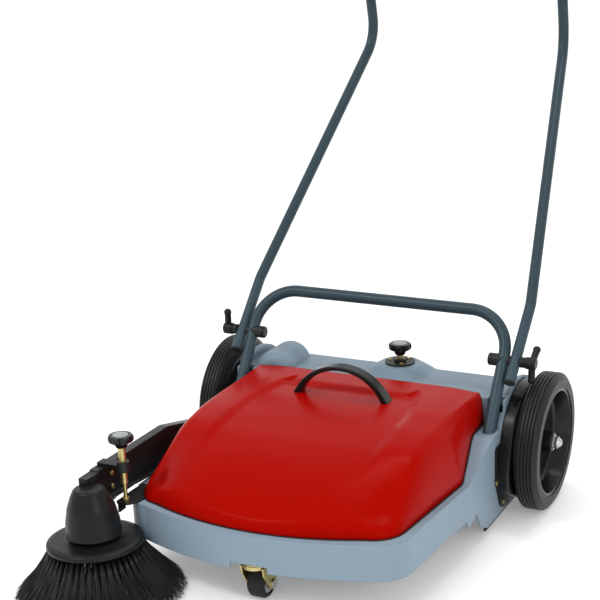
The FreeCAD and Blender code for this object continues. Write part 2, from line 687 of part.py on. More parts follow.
def swing_frame():
    """Two side arms on the axle joined by a cross tube, which carry the brush bearings."""
    arm = slab_yz([(-101.5 - 20, 95), (-101.5, 74), (-101.5 + 20, 84), (0, 116), (22, 137), (28, 196),
            (2, 204),
                   (-16, 150), (-101.5, 117)], FRAME_X - 4, FRAME_X, [12, 12, 12, 14, 12, 8, 8, 20, 12])
    ring = xrod(16, FRAME_X - 8, FRAME_X + 8, AXLE)
    seat = xrod(18, FRAME_X - 6, FRAME_X + 4, BRUSH)
    side = fuse(arm, ring, seat).cut(xrod(12, 200, 300, AXLE)).cut(xrod(14, 200, 300, BRUSH))
    tube = xrod(11, -FRAME_X + 1, FRAME_X - 1, V(0, ADJ.y, 192))
    lug = box(ADJ.x - 16, ADJ.x + 16, ADJ.y - 14, ADJ.y + 14, 192, 212)
    hole = zrod(10.5, ADJ.x, ADJ.y, 198, 240)
    return fuse(side, mirror_x(side), tube, lug).cut(hole)


def frame_bushes():
    ring = xrod(12, FRAME_X - 8, FRAME_X + 8, AXLE).cut(xrod(AXLE_R + RUN, 200, 300, AXLE))
    return both_sides(ring)


def brush_bearings():
    ring = xrod(14, FRAME_X - 6, FRAME_X + 4, BRUSH).cut(xrod(SHAFT_R + RUN, 200, 300, BRUSH))
    return both_sides(ring)


# ---------------------------------------------------------------- rear height adjuster
def lobed_knob(x, y, z0, r, height, bore):
    """A seven-lobed hand knob on a short neck."""
    disc = zrod(r, x, y, z0 + height * 0.45, z0 + height)
    disc = round_edges(disc, height * 0.2, lambda e: e.BoundBox.ZLength < 0.1)
    neck = Part.makeCone(r * 0.42, r * 0.62, height * 0.45, V(x, y, z0), V(0, 0, 1))
    made = fuse(disc, neck)
    for i in range(7):
        a = 2 * math.pi * i / 7
        made = made.cut(zrod(r * 0.3, x + r * 1.16 * math.cos(a), y + r * 1.16 * math.sin(a), z0 - 1,
                z0 + height + 1))
    return made.cut(zrod(bore, x, y, z0 - 1, z0 + height - 5))


def adjuster_plate():
    plate = zrod(31, ADJ.x, ADJ.y, BOSS_TOP, BOSS_TOP + 4)
    plate = fuse(plate, zrod(13, ADJ.x, ADJ.y, BOSS_TOP, BOSS_TOP + 9))
    return plate.cut(zrod(6 + RUN, ADJ.x, ADJ.y, 200, 300)).cut(group(*adjuster_screws()))


def adjuster_screws():
    return [screw(V(ADJ.x + 22 * math.cos(a), ADJ.y + 22 * math.sin(a), BOSS_TOP + 4.1), V(0, 0, 1), 4,
            2.5, 3)
            for a in (math.pi / 3, math.pi, -math.pi / 3)]


def adjuster_spindle():
    """The threaded spindle whose nose turns in the lug of the swing frame."""
    return fuse(zrod(6, ADJ.x, ADJ.y, 202, BOSS_TOP + 30),
            zrod(7.5, ADJ.x, ADJ.y, BOSS_TOP + 10, BOSS_TOP + 18))


def adjuster_knob():
    return lobed_knob(ADJ.x, ADJ.y, BOSS_TOP + 18.2, 24, 24, 6)


# ---------------------------------------------------------------- front caster
def caster_plate():
    plate = box(-34, 34, CASTER.y - 26, CASTER.y + 26, 86, 89.5)
    plate = round_edges(plate, 8, lambda e: e.BoundBox.ZLength > 3 and e.BoundBox.XLength < 0.1)
    race = zrod(22, CASTER.x, CASTER.y, 79, 86)
    return fuse(plate, race, zrod(5, CASTER.x, CASTER.y, 71, 100)).cut(
        zrod(23, CASTER.x, CASTER.y, 81, 84).cut(zrod(19, CASTER.x, CASTER.y, 80,
                85))).cut(group(*caster_bolts()))


def caster_bolts():
    spots = [(x, CASTER.y + y) for x in (-26, 26) for y in (-18, 18)]
    return [screw(V(x, y, 86), V(0, 0, -1), 4.5, 3, 3) for x, y in spots]


def caster_fork():
    """The pressed fork that swivels under the plate and trails the wheel."""
    hub_y = CASTER.y + CASTER_TRAIL
    crown = zrod(23, CASTER.x, CASTER.y, 71, 78.5)
    crown = fuse(crown, box(-24, 24, CASTER.y - 2, hub_y + 12, 71, 74.5))
    sides = []
    for x in (-24, 20.5):
        cheek = slab_yz([(CASTER.y - 14, 74), (CASTER.y - 10, 56), (hub_y - 12, CASTER_R - 6),
                (hub_y, CASTER_R - 13),
                         (hub_y + 12, CASTER_R - 6), (hub_y + 14, 56), (hub_y + 12, 74)], x, x + 3.5,
                        [0, 8, 6, 8, 6, 14, 0])
        sides.append(cheek)
    made = fuse(crown, *sides)
    return made.cut(xrod(5, -40, 40, V(0, hub_y, CASTER_R))).cut(zrod(5 + RUN, CASTER.x, CASTER.y, 60, 110))


def caster_axle():
    at = V(0, CASTER.y + CASTER_TRAIL, CASTER_R)
    return fuse(xrod(5, -26, 26, at), xrod(8.5, 24, 28, at), xrod(8.5, -28, -24, at))


def caster_tread():
    at = V(0, CASTER.y + CASTER_TRAIL, CASTER_R)
    ring = spun_x([(-17, 20), (-17, CASTER_R - 4), (-12, CASTER_R), (12, CASTER_R), (17, CASTER_R - 4),
            (17, 20)], at,
                  [0, 3, 3, 3, 3, 0])
    return ring


def caster_hub():
    at = V(0, CASTER.y + CASTER_TRAIL, CASTER_R)
    return fuse(xrod(20, -15, 15, at), xrod(9, -19.5, 19.5, at)).cut(xrod(5 + RUN, -30, 30, at))


# ---------------------------------------------------------------- side brush and its arm
def leaned(shape):
    """Turns an upright shape about the disc centre so that the brush leans outward and forward."""
    return turned(shape, SIDE, LEAN_AXIS, SIDE_TILT)


def side_arm():
    """Inverted channel pivoting on the wheel axle and reaching forward to the side brush."""
    front = SIDE.y + NECK_REACH
    profile = [(front, 150), (front, ARM_TOP), (-380, ARM_TOP - 2), (-250, 188), (4, 169), (24, 141),
               (4, 115), (-150, 128), (-380, 146)]
    block = slab_yz(profile, ARM_X0, ARM_X1, [4, 4, 60, 60, 12, 20, 12, 40, 40])
    hollow = slab_yz([(SIDE.y - 40, 90), (SIDE.y - 40, ARM_TOP - 3), (-381, ARM_TOP - 5), (-251, 185),
            (80, 185),
                      (80, 90)], ARM_X0 + 3, ARM_X1 - 3, [0, 0, 60, 60, 0, 0])
    opened = block.cut(hollow).cut(box(ARM_X0 - 1, ARM_X0 + 6, -128, 60, 100, 240))
    opened = opened.cut(leaned(zrod(52.4, SIDE.x, SIDE.y, SIDE.z, SIDE.z + 110)))
    boss = xrod(17, ARM_X1 - 3, ARM_X1 + 2.4, AXLE)
    return fuse(opened, boss).cut(xrod(13, -340, -290, AXLE))


def arm_bush():
    return xrod(13, ARM_X1 - 3, ARM_X1 + 2.4, AXLE).cut(xrod(AXLE_R + RUN, -340, -290, AXLE))


def arm_lug():
    """The bracket on the arm through which the height spindle is threaded."""
    plate = box(ARM_X0 + 2, SPINDLE.x, SPINDLE.y - 11, SPINDLE.y + 11, ARM_TOP + 0.1, ARM_TOP + 6)
    made = fuse(plate, zrod(12, SPINDLE.x, SPINDLE.y, ARM_TOP - 8, ARM_TOP + 12))
    return made.cut(zrod(7 + RUN, SPINDLE.x, SPINDLE.y, 150, 260))


def side_bracket():
    """The plate on the front corner of the chassis that the spindle pushes against, with a lip turned down."""
    plate = slab_xy([(-282, -610), (-282, -545), (-280, -518), (-262, -518), (-240, -558), (-244, -592),
            (-256, -610)],
                    SKIRT_TOP, SKIRT_TOP + 4, [4, 6, 4, 4, 6, 6, 6])
    lip = box(-282, -278.5, -604, -583, SKIRT_TOP - 20, SKIRT_TOP + 2)
    return fuse(plate.cut(prism(opening_outline(RIM_GAP - LEDGE - 1.5, SKIRT_TOP - 1), 8)).Solids[0], lip)


def side_spindle():
    return fuse(zrod(7, SPINDLE.x, SPINDLE.y, 190, 262), zrod(4, SPINDLE.x, SPINDLE.y, SKIRT_TOP + 4.1, 190),
                zrod(7, SPINDLE.x, SPINDLE.y, SKIRT_TOP + 4.1, SKIRT_TOP + 9))


def housing_profile(wall):
    """Half of the housing outline: (radius, height over the disc), set in by wall."""
    return [(36 - wall, 88), (44 - wall, 68), (50 - wall, 40), (52 - wall, 14)]


def side_housing():
    """The barrel-shaped shell over the side brush drive, with the neck that joins it to the arm."""
    z = SIDE.z
    outside = [(r, z + h) for r, h in housing_profile(0)]
    inside = [(r, z + h - 4) for r, h in housing_profile(3.5)]
    inside[-1] = (inside[-1][0], z + 14)
    shell = spun_z([(0, z + 103), (28, z + 103)] + outside + inside[::-1] + [(27, z + 98), (0, z + 98)],
                   SIDE.x, SIDE.y, [0, 8, 20, 30, 30, 0, 0, 30, 30, 14, 5, 0])
    cavity = spun_z([(0, z + 98), (27, z + 98)] + inside + [(48.5, z), (0, z)], SIDE.x, SIDE.y)
    deck = spun_z([(14, z + 38), (14, z + 32), (49, z + 32), (49, z + 38)], SIDE.x, SIDE.y).common(
        spun_z([(0, z + 100)] + outside + [(0, z + 14)], SIDE.x, SIDE.y))
    collar = zrod(18, SIDE.x, SIDE.y, z + 24, z + 46).cut(zrod(14, SIDE.x, SIDE.y, z, z + 60))
    slot = box(SIDE.x - 26, SIDE.x + 24, SIDE.y, SIDE.y + 60, z + 62, z + 90)
    made = leaned(fuse(shell, deck, collar).cut(slot))
    end = SIDE.y + NECK_REACH - 0.1
    neck = box(ARM_X0, ARM_X1, SIDE.y + 6, end, 150, ARM_TOP - 3)
    neck = neck.cut(box(ARM_X0 + 3, ARM_X1 - 3, SIDE.y + 10, end + 1, 140, ARM_TOP - 7))
    ear = slab_yz([(end - 34, 150), (end - 34, 200), (end - 20, 213), (end + 49, 213), (end + 49, 150)],
                  ARM_X1 + 0.1, ARM_X1 + 3.1, [0, 10, 10, 6, 6])
    root = box(ARM_X1 - 1, ARM_X1 + 1, end - 20, end, 170, 200)
    made = fuse(made, neck.cut(leaned(cavity)), ear.cut(leaned(cavity)), root)
    return made.cut(group(*housing_screws()))


def housing_screws():
    """Three screws, one above the other, through the ear that ties the housing to the arm."""
    at = SIDE.y + NECK_REACH + 38
    return [screw(V(ARM_X1 + 3.2, at, z), V(1, 0, 0), 5, 3, 2.8) for z in (160, 178, 204)]


def side_bearing():
    z = SIDE.z
    return leaned(zrod(14, SIDE.x, SIDE.y, z + 24, z + 46).cut(zrod(8 + RUN, SIDE.x, SIDE.y, z, z + 60)))


def side_shaft():
    return leaned(zrod(8, SIDE.x, SIDE.y, SIDE.z + 8, BRUSH_PULLEY_Z + 10))


def side_pulley():
    r, z = BRUSH_PULLEY_R, BRUSH_PULLEY_Z
    ring = spun_z([(8, z - 8), (8, z + 8), (r + 3, z + 8), (r - 1.6, z + 4), (r - 1.6, z - 4),
            (r + 3, z - 8)],
                  SIDE.x, SIDE.y)
    return leaned(ring)


def side_disc():
    """The brush plate with its thick rolled rim."""
    z = SIDE.z
    plate = spun_z([(0, z), (0, z + 8), (34, z + 9), (60, z + 5), (80, z + 5), (DISC_R, z + 2),
            (DISC_R, z - 8),
                    (80, z - 9), (20, z - 8), (20, z)], SIDE.x, SIDE.y, [0, 0, 20, 20, 8, 5, 5, 2, 0, 0])
    return leaned(plate.cut(zrod(8, SIDE.x, SIDE.y, z + 7, z + 20)))


def side_bristles():
    """The flared skirt of bristles, with the hollow middle that a real brush has."""
    low, top = SWEEP_LIFT, SIDE.z - 9.1
    skirt = spun_z([(70, top), (78, top), (84, 76), (92, 58), (112, 38), (SWEEP_R, low),
            (SWEEP_R - 34, low), (94, 38),
                    (74, 76)], SIDE.x, SIDE.y, [0, 0, 40, 40, 60, 0, 0, 60, 60])
    return leaned(skirt)


def wheel_pulley():
    """The grooved pulley on the inner hub of the right-hand wheel."""
    r = WHEEL_PULLEY_R
    rings = spun_x([(BELT_X - 6, AXLE_R + 1), (BELT_X - 6, r + 2), (BELT_X - 4, r - 2), (BELT_X + 4, r - 2),
                    (BELT_X + 6, r + 2), (BELT_X + 6, AXLE_R + 1)], AXLE)
    hub = xrod(16, -WHEEL_IN - 2, BELT_X - 6, AXLE).cut(xrod(AXLE_R + 1, -400, -250, AXLE))
    return fuse(rings, hub)


def belt_corners():
    """The corners of the belt's path: above and below the wheel pulley, then either side of the brush pulley."""
    big, small = WHEEL_PULLEY_R + BELT_R + 0.3, BRUSH_PULLEY_R + BELT_R + 0.3
    tilt = FreeCAD.Rotation(LEAN_AXIS, SIDE_TILT)
    rear = [V(BELT_X, big, AXLE.z + big), V(BELT_X, big, AXLE.z - big - 4.6)]
    front = [SIDE + tilt.multVec(V(sign * small, -small, BRUSH_PULLEY_Z - SIDE.z)) for sign in (1, -1)]
    return rear, front


def side_belt():
    """The round belt, which takes a quarter turn between the wheel pulley and the brush pulley."""
    rear, front = belt_corners()
    seam = rear[0] + (front[1] - rear[0]) * 0.5
    gap = (front[1] - rear[0]).normalize() * BELT_JOIN
    round_rear, round_front = (WHEEL_PULLEY_R + BELT_R) * 0.975, (BRUSH_PULLEY_R + BELT_R) * 0.955
    return pipe([seam, *rear, *front, seam + gap], [0, round_rear, round_rear, round_front, round_front,
            0], BELT_R)


# ---------------------------------------------------------------- flaps
def rear_flap():
    return box(-262, 262, 128, 131, 6, 60)


def side_flap():
    """A rubber skirt under the edge of the chassis side."""
    return both_sides(slab_yz([(-176, 4), (-176, 34), (60, 34), (60, 4)], 287, 291))


SINGLE_PARTS = {
    "chassis_shell": chassis_shell, "hood": hood, "hood_seal": hood_seal, "carry_handle": carry_handle,
    "handle_screws": handle_screws, "dirt_hopper": hopper, "push_bow": bow, "push_handle": push_handle,
    "handle_grip": handle_grip, "handle_end_plugs": handle_plugs, "clamp_bolts": clamp_bolts,
    "clamp_caps": clamp_caps, "clamp_washers": clamp_washers, "wheel_axle": wheel_axle,
    "axle_washers": axle_washers, "axle_nuts": axle_nuts, "drive_gear": drive_gear,
    "brush_pinion": brush_pinion, "gear_cover": gear_cover,
            "cover_screws": lambda: group(*cover_screws(), *adjuster_screws()),
    "housing_screws": lambda: group(*housing_screws()),
    "main_brush_core": brush_core, "main_brush_tufts": brush_tufts, "main_brush_shaft": brush_shaft,
    "swing_frame": swing_frame, "frame_bushes": frame_bushes, "brush_bearings": brush_bearings,
    "adjuster_plate": adjuster_plate, "adjuster_spindle": adjuster_spindle,
    "adjuster_knob": adjuster_knob, "caster_plate": caster_plate,
            "caster_bolts": lambda: group(*caster_bolts()),
    "caster_fork": caster_fork, "caster_axle": caster_axle, "caster_tread": caster_tread,
    "caster_hub": caster_hub, "side_arm": side_arm, "arm_bush": arm_bush, "arm_lug": arm_lug,
    "side_bracket": side_bracket, "side_spindle": side_spindle, "side_brush_bearing": side_bearing,
    "side_brush_shaft": side_shaft, "side_brush_pulley": side_pulley, "side_brush_disc": side_disc,
    "side_brush_bristles": side_bristles, "wheel_pulley": wheel_pulley, "side_belt": side_belt,
    "rear_flap": rear_flap, "side_flaps": side_flap,
}


def main():
    os.makedirs(OUT, exist_ok=True)
    for name, make in SINGLE_PARTS.items():
        save(name, make())
    for side, flip in (("left", lambda s: s), ("right", mirror_x)):
        save("tyre_" + side, flip(tyre()))
        save("rim_" + side, flip(rim()))
        save("wheel_bush_" + side, flip(wheel_bush()))
        save("clamp_knob_" + side, flip(clamp_knob([(32, 35), (-90, 34)] if side == "left" else [(90, 35)])))
    save("side_brush_housing", side_housing())
    save("side_knob", lobed_knob(SPINDLE.x, SPINDLE.y, 262, 24, 24, 5))


main()
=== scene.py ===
"""Walk-behind sweeper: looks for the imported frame. Metres, +Z up, -Y is the direction of travel."""
import json
import math
import random

import bmesh
import bpy
import numpy as np
from mathutils import Matrix, Vector


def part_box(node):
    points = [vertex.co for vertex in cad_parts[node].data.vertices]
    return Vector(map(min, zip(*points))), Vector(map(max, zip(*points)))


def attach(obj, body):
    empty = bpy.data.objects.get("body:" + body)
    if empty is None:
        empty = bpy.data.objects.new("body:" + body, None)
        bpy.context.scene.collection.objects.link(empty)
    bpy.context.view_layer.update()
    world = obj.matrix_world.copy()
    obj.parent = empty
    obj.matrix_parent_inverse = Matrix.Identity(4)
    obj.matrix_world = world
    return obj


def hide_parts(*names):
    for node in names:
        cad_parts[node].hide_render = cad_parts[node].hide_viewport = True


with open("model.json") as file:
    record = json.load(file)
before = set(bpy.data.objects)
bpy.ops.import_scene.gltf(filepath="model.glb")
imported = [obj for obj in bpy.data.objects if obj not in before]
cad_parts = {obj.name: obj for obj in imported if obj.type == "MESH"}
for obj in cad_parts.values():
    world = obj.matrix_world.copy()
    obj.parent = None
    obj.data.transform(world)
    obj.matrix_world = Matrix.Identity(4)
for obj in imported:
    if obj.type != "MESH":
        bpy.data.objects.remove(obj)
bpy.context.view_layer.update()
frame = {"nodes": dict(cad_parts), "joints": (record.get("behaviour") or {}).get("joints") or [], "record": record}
NODES = frame["nodes"]


def joint_named(name):
    """The record's joint with this name."""
    return next(j for j in frame["joints"] if j["name"] == name)


# The ground right under the middle of the wheel axle. The hood, lights and camera are placed from here.
DATUM = Vector(joint_named("left_wheel_spin")["pos_m"]) * Vector((1, 1, 0))


# ---------------------------------------------------------------- materials
def new_material(name):
    """A node material with its Principled shader, ready to be wired."""
    mat = bpy.data.materials.new(name)
    mat.use_nodes = True
    return mat, mat.node_tree, mat.node_tree.nodes["Principled BSDF"]


def node(tree, kind, **inputs):
    """Adds a shader node and sets its inputs or properties by name."""
    made = tree.nodes.new(kind)
    for key, value in inputs.items():
        if key in made.inputs:
            made.inputs[key].default_value = value
        else:
            setattr(made, key, value)
    return made


def coords(tree):
    """Object coordinates in metres, which are the same for every piece at rest."""
    return node(tree, "ShaderNodeTexCoord").outputs["Object"]


def noise(tree, scale, detail=4.0, rough=0.55, stretch=(1, 1, 1)):
    """A noise value at the given scale per metre, optionally stretched along an axis."""
    mapping = node(tree, "ShaderNodeMapping", Scale=stretch)
    made = node(tree, "ShaderNodeTexNoise", Scale=scale, Detail=detail, Roughness=rough)
    tree.links.new(coords(tree), mapping.inputs["Vector"])
    tree.links.new(mapping.outputs["Vector"], made.inputs["Vector"])
    return made.outputs["Fac"]


def remap(tree, value, low, high):
    """Maps a 0..1 value onto low..high."""
    made = node(tree, "ShaderNodeMapRange", **{"To Min": low, "To Max": high})
    tree.links.new(value, made.inputs["Value"])
    return made.outputs["Result"]


def tone(tree, value, dark, light):
    """A colour between dark and light chosen by value."""
    made = tree.nodes.new("ShaderNodeMix")
    made.data_type = "RGBA"
    made.inputs[6].default_value = (*dark, 1)
    made.inputs[7].default_value = (*light, 1)
    tree.links.new(value, made.inputs[0])
    return made.outputs[2]


def add_bump(tree, shader, value, strength, distance, edge=0.0):
    """Bump from a value, over a normal softened at hard edges by a small bevel."""
    bump = node(tree, "ShaderNodeBump", Strength=strength, Distance=distance)
    tree.links.new(value, bump.inputs["Height"])
    if edge:
        bevel = node(tree, "ShaderNodeBevel", Radius=edge, samples=4)
        tree.links.new(bevel.outputs["Normal"], bump.inputs["Normal"])
    tree.links.new(bump.outputs["Normal"], shader.inputs["Normal"])


def worn_edges(tree, colour, worn, amount, size):
    """Mixes in a worn colour where the surface is sharply convex."""
    geometry = tree.nodes.new("ShaderNodeNewGeometry")
    ramp = tree.nodes.new("ShaderNodeValToRGB")
    ramp.color_ramp.elements[0].position = 0.52
    ramp.color_ramp.elements[1].position = 0.52 + size
    tree.links.new(geometry.outputs["Pointiness"], ramp.inputs["Fac"])
    scale = tree.nodes.new("ShaderNodeMath")
    scale.operation = "MULTIPLY"
    scale.inputs[1].default_value = amount
    tree.links.new(ramp.outputs["Color"], scale.inputs[0])
    mix = tree.nodes.new("ShaderNodeMix")
    mix.data_type = "RGBA"
    tree.links.new(scale.outputs["Value"], mix.inputs[0])
    tree.links.new(colour, mix.inputs[6])
    mix.inputs[7].default_value = (*worn, 1)
    return mix.outputs[2]


def plastic(name, dark, light, rough, grain=0.0, grain_scale=1800.0, shine=0.3, edge=0.0012, wear=None,
            tint=(1, 1, 1, 1)):
    """Moulded plastic: a faint mottling of colour, a grained or glossy skin and softened edges."""
    mat, tree, shader = new_material(name)
    mottle = noise(tree, 14.0, 3.0)
    colour = tone(tree, mottle, dark, light)
    if wear:
        colour = worn_edges(tree, colour, wear, 0.5, 0.08)
    tree.links.new(colour, shader.inputs["Base Color"])
    smear = noise(tree, 55.0, 5.0, 0.7)
    tree.links.new(remap(tree, smear, rough * 0.82, rough * 1.22), shader.inputs["Roughness"])
    shader.inputs["Specular IOR Level"].default_value = shine
    shader.inputs["Specular Tint"].default_value = tint
    add_bump(tree, shader, noise(tree, grain_scale, 2.0), max(grain, 0.02), 0.0002, edge)
    return mat


def rubber(name, dark, light, rough, grain=0.25, edge=0.001):
    """Matte rubber with dust in its texture."""
    mat, tree, shader = new_material(name)
    dust = noise(tree, 38.0, 6.0, 0.75)
    tree.links.new(tone(tree, dust, dark, light), shader.inputs["Base Color"])
    tree.links.new(remap(tree, dust, rough - 0.08, rough + 0.12), shader.inputs["Roughness"])
    shader.inputs["Specular IOR Level"].default_value = 0.22
    add_bump(tree, shader, noise(tree, 900.0, 3.0), grain, 0.0003, edge)
    return mat


def painted_steel(name, dark, light, rough, orange_peel=0.06):
    """Powder coat: even colour with a slight orange peel and lighter rubbed edges."""
    mat, tree, shader = new_material(name)
    colour = tone(tree, noise(tree, 9.0, 3.0), dark, light)
    tree.links.new(worn_edges(tree, colour, tuple(c * 2.2 + 0.02 for c in light), 0.35, 0.1),
                   shader.inputs["Base Color"])
    tree.links.new(remap(tree, noise(tree, 70.0), rough * 0.85, rough * 1.25), shader.inputs["Roughness"])
    shader.inputs["Metallic"].default_value = 0.15
    shader.inputs["Specular IOR Level"].default_value = 0.25
    add_bump(tree, shader, noise(tree, 420.0, 2.0), orange_peel, 0.0003, 0.0008)
    return mat


def plated_steel(name, dark, light, rough):
    """Zinc plate or turned steel: metallic, with cloudy passivation and fine scratches."""
    mat, tree, shader = new_material(name)
    tree.links.new(tone(tree, noise(tree, 60.0, 6.0, 0.7), dark, light), shader.inputs["Base Color"])
    shader.inputs["Metallic"].default_value = 1.0
    scratches = noise(tree, 260.0, 4.0, 0.6, (1, 1, 9))
    tree.links.new(remap(tree, scratches, rough * 0.7, rough * 1.5), shader.inputs["Roughness"])
    add_bump(tree, shader, scratches, 0.08, 0.0002, 0.0006)
    return mat


def make_plastics():
    """Chassis, hood and trim mouldings, by the record's slot name."""
    return {
        "moulded_grey": plastic("Chassis grey", (0.160, 0.222, 0.275), (0.184, 0.248, 0.302), 0.42,
                                grain=0.10, grain_scale=1500, shine=0.18, edge=0.0022,
                                wear=(0.26, 0.34, 0.41)),
        "hood_red": plastic("Hood red", (0.315, 0.0022, 0.0003), (0.345, 0.0030, 0.0004), 0.25,
                            grain=0.02, grain_scale=300, shine=0.045, edge=0.0015,
                            tint=(1.0, 0.22, 0.18, 1)),
        "black_gloss": plastic("Black gloss plastic", (0.0035, 0.0038, 0.004), (0.006, 0.0062, 0.0065),
                               0.22, grain=0.03, grain_scale=500, edge=0.001),
        "black_plastic": plastic("Black grained plastic", (0.0045, 0.005, 0.005), (0.009, 0.0095, 0.0095),
                                 0.36, grain=0.2, grain_scale=1600, shine=0.20, edge=0.001,
                                 wear=(0.03, 0.03, 0.03)),
        "gear_nylon": plastic("Nylon", (0.62, 0.60, 0.52), (0.72, 0.70, 0.62), 0.45,
                              grain=0.05, grain_scale=900, edge=0.0006),
        "brush_fibre": plastic("Bristle fibre", (0.004, 0.004, 0.004), (0.030, 0.031, 0.030), 0.30,
                               grain=0.05, grain_scale=900, shine=0.35, edge=0),
        "knob_cap_grey": plastic("Grey plastic", (0.25, 0.27, 0.26), (0.34, 0.36, 0.35), 0.42,
                                 grain=0.08, grain_scale=1200, edge=0.0008),
    }


def make_rubbers():
    """Tyres, seals and the grip, by the record's slot name."""
    return {
        "tyre_rubber": rubber("Tyre rubber", (0.007, 0.0085, 0.0085), (0.013, 0.015, 0.0145), 0.42, 0.2),
        "rubber": rubber("Seal rubber", (0.010, 0.010, 0.012), (0.022, 0.022, 0.025), 0.62),
        "grip_foam": rubber("Grip rubber", (0.012, 0.012, 0.012), (0.026, 0.026, 0.026), 0.7, 0.5),
    }


def make_metals():
    """Painted, plated and bare metal, by the record's slot name."""
    return {
        "tube_paint": painted_steel("Slate tube paint", (0.022, 0.042, 0.054), (0.029, 0.052, 0.066), 0.36),
        "black_steel": painted_steel("Black steel", (0.004, 0.004, 0.0045), (0.007, 0.007, 0.0075), 0.36),
        "zinc_yellow": plated_steel("Yellow zinc", (0.42, 0.33, 0.11), (0.66, 0.58, 0.30), 0.34),
        "steel": plated_steel("Turned steel", (0.42, 0.42, 0.41), (0.62, 0.62, 0.61), 0.3),
        "bronze": plated_steel("Sintered bronze", (0.38, 0.24, 0.10), (0.52, 0.36, 0.18), 0.42),
    }


def dress_nodes(materials):
    """Gives every CAD node the finish its record slot names."""
    for part in frame["record"]["subparts"]:
        obj = NODES[part["node"]]
        obj.data.materials.clear()
        obj.data.materials.append(materials[part["material_slot"]])


# ---------------------------------------------------------------- mesh helpers
def mesh_object(name, verts, faces, material, body):
    """A mesh piece that rides on a CAD body and takes its finish from a record slot."""
    mesh = bpy.data.meshes.new(name)
    mesh.from_pydata([tuple(v) for v in verts], [], faces)
    mesh.materials.append(material)
    mesh.validate()
    for p in mesh.polygons:
        p.use_smooth = True
    obj = bpy.data.objects.new(name, mesh)
    bpy.context.scene.collection.objects.link(obj)
    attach(obj, body)
    return obj


def arc_points(a, b, c, count):
    """Points along the circle through three plan points, from a to c, without c itself."""
    ax, ay, bx, by, cx, cy = *a, *b, *c
    d = 2 * (ax * (by - cy) + bx * (cy - ay) + cx * (ay - by))
    ux = ((ax**2 + ay**2) * (by - cy) + (bx**2 + by**2) * (cy - ay) + (cx**2 + cy**2) * (ay - by)) / d
    uy = ((ax**2 + ay**2) * (cx - bx) + (bx**2 + by**2) * (ax - cx) + (cx**2 + cy**2) * (bx - ax)) / d
    r = math.hypot(ax - ux, ay - uy)
    start, mid, end = (math.atan2(p[1] - uy, p[0] - ux) for p in (a, b, c))
    if (mid - start) % math.tau > (end - start) % math.tau:
        sweep = -((start - end) % math.tau)
    else:
        sweep = (end - start) % math.tau
    return [(ux + r * math.cos(start + sweep * i / count), uy + r * math.sin(start + sweep * i / count))
            for i in range(count)]


def line_points(a, b, count):
    """Evenly spaced plan points from a towards b, without b itself."""
    return [(a[0] + (b[0] - a[0]) * i / count, a[1] + (b[1] - a[1]) * i / count) for i in range(count)]


def smooth_step(x, low, high):
    """Rises smoothly from 0 at low to 1 at high."""
    t = np.clip((x - low) / (high - low), 0, 1)
    return t * t * (3 - 2 * t)


def tube_faces(rings, sides):
    """Quads between successive rings of points."""
    faces = []
    for i in range(rings - 1):
        for k in range(sides):
            a, b = i * sides + k, i * sides + (k + 1) % sides
            faces.append((a, b, b + sides, a + sides))
    return faces


# ---------------------------------------------------------------- hood
HOOD_LOW, HOOD_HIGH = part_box("hood")
DECK_Y = HOOD_HIGH.y - DATUM.y
RIM_Z = HOOD_LOW.z
NOSE_Y = HOOD_LOW.y - DATUM.y
CROWN = HOOD_HIGH.z + 0.006                  # the dome stands a little above the handle's feet
SKIN = 0.003                                 # wall thickness of the hood
BROW_IN = 0.016                              # how far the shoulder line lies behind the nose
CORNER_DROP = 0.027                          # how far the dome falls towards the front corners
PANEL_DEPTH = 0.0052                         # the centre panel lies this far below the dome
DIMPLE_X, DIMPLE_Y = 0.134, -0.160           # middle of each dimple by the carry handle
DIMPLE_DEPTH = 0.0042
# Plan outlines from the nose to the deck: the hood's foot, and the line where its walls become the dome.
FOOT_PLAN = [(0, NOSE_Y), (0.2104, -0.5848), (0.249, -0.565), (0.264, -0.5284),
             (0.2845, -0.296), (0.2565, -0.165), (0.2555, DECK_Y)]
BROW_PLAN = [(0, NOSE_Y + BROW_IN), (0.188, -0.566), (0.216, -0.542), (0.2265, -0.502),
             (0.2300, -0.30), (0.2370, -0.165), (0.2420, DECK_Y)]


def half_outline(rows):
    """One half of a plan outline, from the nose round to the deck."""
    nose, shoulder, bulge, corner, side, post, deck = rows
    half = []
    mirror = (-shoulder[0], shoulder[1])
    half += arc_points(mirror, nose, shoulder, 96)[48:]
    half += arc_points(shoulder, bulge, corner, 22)
    half += line_points(corner, side, 56)
    half += line_points(side, post, 32)
    half += line_points(post, deck, 16)
    return half + [deck]


def rounded_plan(points, passes):
    """Evens out the kinks between straight stretches, keeping both ends."""
    p = np.array(points)
    for _ in range(passes):
        p[1:-1] = (p[:-2] + 2 * p[1:-1] + p[2:]) / 4
    return p


def rim_height(y):
    """The hood's rim climbs from the front ledge over the chassis side up to the deck."""
    return RIM_Z + 0.0475 * smooth_step(y, -0.312, -0.140)


def profile_height(y):
    """Height of the dome along the machine's centre plane."""
    ys = [-0.66, -0.634, -0.615, -0.585, -0.545, -0.49, -0.42, -0.34, -0.25, -0.17, -0.09]
    zs = [-0.122, -0.1035, -0.090, -0.0725, -0.0525, -0.0310, -0.0120, -0.002, 0.0, -0.0005, -0.002]
    return CROWN + np.interp(y, np.array(ys), np.array(zs))


